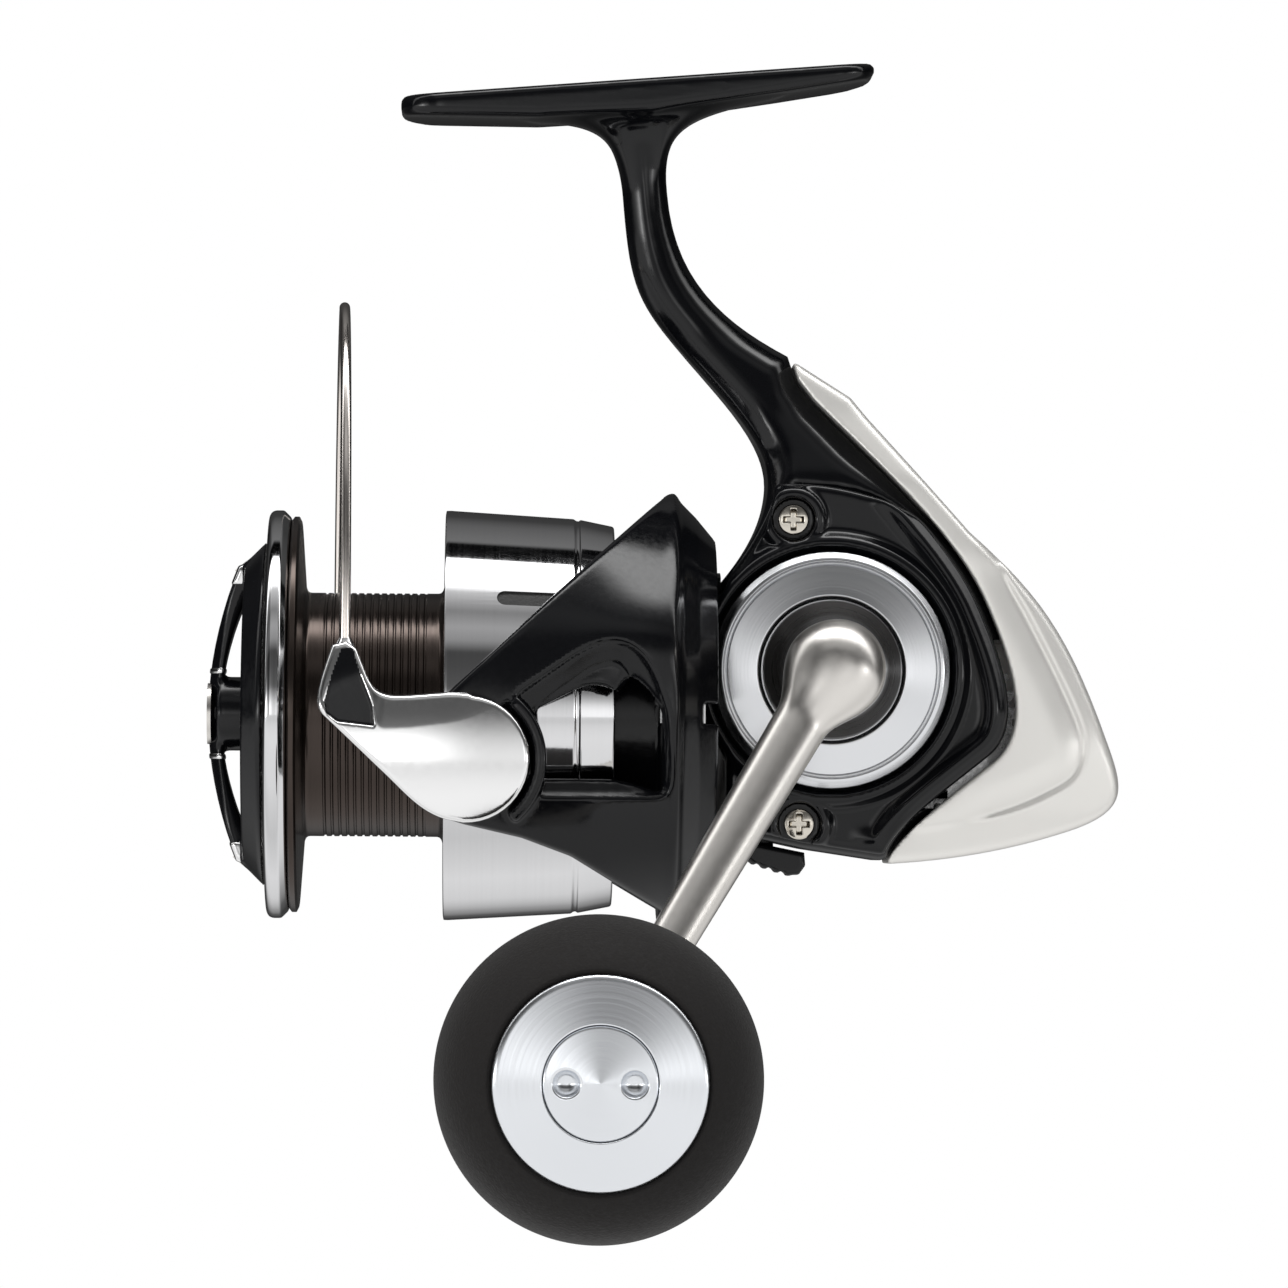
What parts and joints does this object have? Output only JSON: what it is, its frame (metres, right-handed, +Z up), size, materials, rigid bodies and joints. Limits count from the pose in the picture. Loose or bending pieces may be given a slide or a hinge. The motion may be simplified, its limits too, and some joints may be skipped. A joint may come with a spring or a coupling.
{
  "type": "spinning reel",
  "caption": "Spinning fishing reel with foot and stem, gear case, rotor with folding bail wire, oscillating spool with front drag knob, and cranked handle with a round foam knob.",
  "frame": {"origin": "centre of the foot's seat face, where the rod's reel seat presses", "axes": "+Z up from the reel towards the rod, +X to the rear along the main shaft, -Y to the handle side"},
  "size_m": [0.1193, 0.1342, 0.1515],
  "materials": {
    "black_housing": "fine satin-gloss black paint over cast metal",
    "gloss_black": "moulded gloss black",
    "pearl_cover": "pearl silver lacquer",
    "polished_alu": "polished and clear coated",
    "satin_alu": "satin, finely brushed",
    "dark_alu": "dark brown-black anodised",
    "spool_chrome": "mirror bright",
    "eva_grip": "closed-cell foam grip, matt, finely pored",
    "brass_gear": "machined",
    "steel_part": "machined steel",
    "spring_steel": "drawn wire",
    "screw_steel": "nickel plated",
    "drag_felt": "carbon felt",
    "matt_black": "moulded matt black",
    "grey_cap": "grey anodised, lightly brushed"
  },
  "bodies": {
    "body": {"body_housing": "black_housing", "side_cover": "black_housing", "cover_ring": "polished_alu", "rear_cover": "pearl_cover", "cover_screws": "screw_steel", "rear_cover_screw": "screw_steel", "drive_bearing_left": "steel_part", "drive_bearing_right": "steel_part", "right_side_cap": "gloss_black", "pinion_bearing_front": "steel_part", "pinion_bearing_rear": "steel_part", "one_way_clutch": "steel_part", "clutch_rollers": "steel_part", "clutch_retainer": "steel_part", "clutch_screws": "screw_steel", "guide_rod": "steel_part", "oscillation_post": "steel_part", "bail_trip_ramp": "matt_black"},
    "anti_reverse": {"anti_reverse_lever": "matt_black"},
    "drive": {"drive_gear": "brass_gear", "oscillation_pinion": "steel_part", "handle_shaft": "steel_part", "handle_collar": "matt_black", "handle_arm": "satin_alu", "knob_axle": "steel_part", "knob_screw": "screw_steel"},
    "knob": {"knob_grip": "eva_grip", "knob_cap": "satin_alu", "knob_centre_cap": "grey_cap", "knob_bearings": "steel_part"},
    "oscillator": {"oscillation_gear": "steel_part"},
    "shaft": {"main_shaft": "steel_part", "oscillation_slider": "steel_part", "slider_screw": "screw_steel", "spool_support": "steel_part"},
    "spool": {"spool_core": "dark_alu", "spool_skirt": "polished_alu", "spool_lip": "spool_chrome", "drag_washers": "drag_felt", "drag_retainer": "spring_steel", "spool_bearings": "steel_part", "line_clip": "matt_black", "click_pawl": "steel_part"},
    "drag_control": {"drag_knob": "gloss_black", "drag_knob_plate": "satin_alu", "drag_nut": "steel_part", "drag_spring": "spring_steel"},
    "rotor": {"rotor_frame": "gloss_black", "pinion_gear": "brass_gear", "clutch_sleeve": "steel_part", "rotor_nut": "screw_steel", "bail_spring": "spring_steel", "bail_trip_lever": "steel_part", "bail_pivot_screws": "screw_steel"},
    "bail": {"bail_arm": "polished_alu", "bail_wire": "spool_chrome", "bail_holder": "gloss_black", "roller_bolt": "screw_steel"},
    "line_roller": {"line_roller": "spool_chrome"}
  },
  "joints": [
    {"name": "handle_turn", "type": "hinge", "parent": "body", "child": "drive", "pos_m": [0.0255, 0, -0.0774], "axis": [0, 1, 0], "continuous": true},
    {"name": "knob_spin", "type": "hinge", "parent": "drive", "child": "knob", "pos_m": [-0.00521, 0, -0.12871], "axis": [0, 1, 0], "continuous": true},
    {"name": "rotor_spin", "type": "hinge", "parent": "body", "child": "rotor", "pos_m": [-0.0045, 0, -0.0834], "axis": [1, 0, 0], "continuous": true},
    {"name": "oscillation_gear_turn", "type": "hinge", "parent": "body", "child": "oscillator", "pos_m": [0.04, 0.0067, -0.08416], "axis": [0, 1, 0], "continuous": true},
    {"name": "spool_oscillation", "type": "slide", "parent": "body", "child": "shaft", "axis": [1, 0, 0], "range_m": [-0.012, 0.004]},
    {"name": "spool_drag_slip", "type": "hinge", "parent": "shaft", "child": "spool", "pos_m": [-0.0335, 0, -0.0834], "axis": [1, 0, 0], "continuous": true},
    {"name": "drag_knob_turn", "type": "hinge", "parent": "shaft", "child": "drag_control", "pos_m": [-0.0505, 0, -0.0834], "axis": [1, 0, 0], "range_deg": [-540, 540]},
    {"name": "bail_swing", "type": "hinge", "parent": "rotor", "child": "bail", "pos_m": [-0.0218, 0, -0.0895], "axis": [0, -1, 0], "range_deg": [0, 105]},
    {"name": "line_roller_spin", "type": "hinge", "parent": "bail", "child": "line_roller", "pos_m": [-0.0374, -0.03, -0.0818], "axis": [0, 1, 0], "continuous": true},
    {"name": "anti_reverse_swing", "type": "hinge", "parent": "body", "child": "anti_reverse", "pos_m": [0.0171, 0, -0.0994], "axis": [0, 0, 1], "range_deg": [0, 30]}
  ],
  "couplings": [
    {"joint": "rotor_spin", "follows": "handle_turn", "ratio": -4.8889},
    {"joint": "oscillation_gear_turn", "follows": "handle_turn", "ratio": -0.42857}
  ]
}
